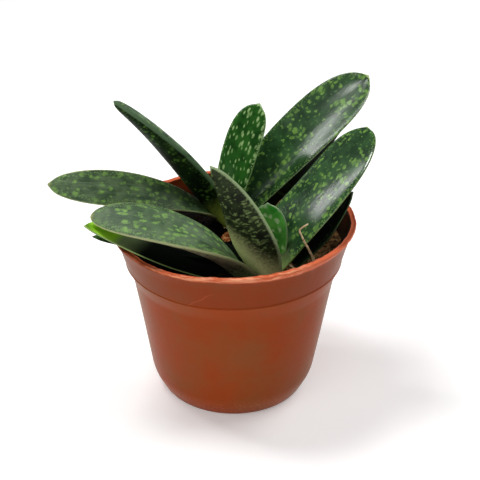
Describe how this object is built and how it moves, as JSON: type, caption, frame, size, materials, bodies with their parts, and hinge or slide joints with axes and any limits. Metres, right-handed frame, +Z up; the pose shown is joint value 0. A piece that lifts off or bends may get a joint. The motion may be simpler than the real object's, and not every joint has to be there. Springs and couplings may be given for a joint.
{
  "type": "potted gasteria",
  "caption": "Potted succulent: spotted tongue-shaped leaves in two rows from a pair of young plants, in potting soil in a thin terracotta-coloured plastic nursery pot.",
  "frame": {"origin": "middle of the pot's underside, on the surface that the pot stands on", "axes": "+Z up along the pot's axis, -Y towards the front, where the front plant grows close to the rim, +X to the right seen from the front"},
  "size_m": [0.1561, 0.12, 0.1606],
  "materials": {
    "pot_plastic": "satin, faintly scuffed",
    "potting_soil": "rough, crumbly",
    "root": "matt",
    "leaf_dark": "waxy satin, spotted and finely warted",
    "leaf_grey": "dull waxy, spotted and wrinkled",
    "leaf_young": "waxy satin, pale spots",
    "leaf_lime": "waxy satin, dotted",
    "dry_fibre": "dry, matt",
    "bark": "rough, fibrous"
  },
  "bodies": {
    "root": {"pot": "pot_plastic", "potting_soil": "potting_soil", "rear_rootstock": "root", "front_rootstock": "root", "front_leaf_inner_right": "leaf_young", "front_leaf_inner_left": "leaf_dark", "front_leaf_middle_left": "leaf_grey", "front_leaf_upper_right": "leaf_dark", "front_leaf_lower_left": "leaf_lime", "front_leaf_lower_right": "leaf_dark", "front_leaf_lowest_left": "leaf_dark", "rear_leaf_centre": "leaf_young", "rear_leaf_upper_left": "leaf_grey", "rear_leaf_right": "leaf_dark", "rear_leaf_lower_left": "leaf_grey", "dry_root": "dry_fibre", "dry_leaf_sheath": "dry_fibre", "bark_chip": "bark"}
  },
  "joints": []
}
